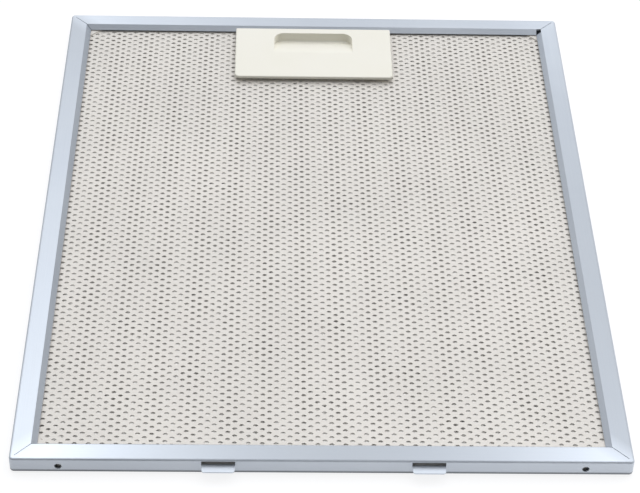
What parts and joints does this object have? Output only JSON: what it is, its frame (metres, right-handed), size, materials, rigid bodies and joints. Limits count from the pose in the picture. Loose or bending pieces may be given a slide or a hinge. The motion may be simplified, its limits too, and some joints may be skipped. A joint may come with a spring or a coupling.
{
  "type": "cooker hood grease filter",
  "caption": "Flat rectangular metal mesh grease filter in a folded channel frame, with hook lugs, drain holes and a plastic plate with a recessed finger grip.",
  "frame": {"origin": "middle of the rear face, in the plane of the rear rim", "axes": "+Z out of the front face, which carries the handle; +Y towards the handle side; -Y towards the side with the lugs; +X to the right seen from the front with the handle at the top"},
  "size_m": [0.26, 0.3242, 0.008],
  "materials": {
    "frame_metal": "satin, pale blue-grey",
    "mesh_metal": "bare, slightly warm",
    "handle_plastic": "fine satin, cream"
  },
  "bodies": {
    "root": {"frame": "frame_metal", "front_mesh": "mesh_metal", "inner_layer_1": "mesh_metal", "inner_layer_2": "mesh_metal", "inner_layer_3": "mesh_metal", "rear_mesh": "mesh_metal", "handle": "handle_plastic", "handle_backing": "handle_plastic"}
  },
  "joints": []
}
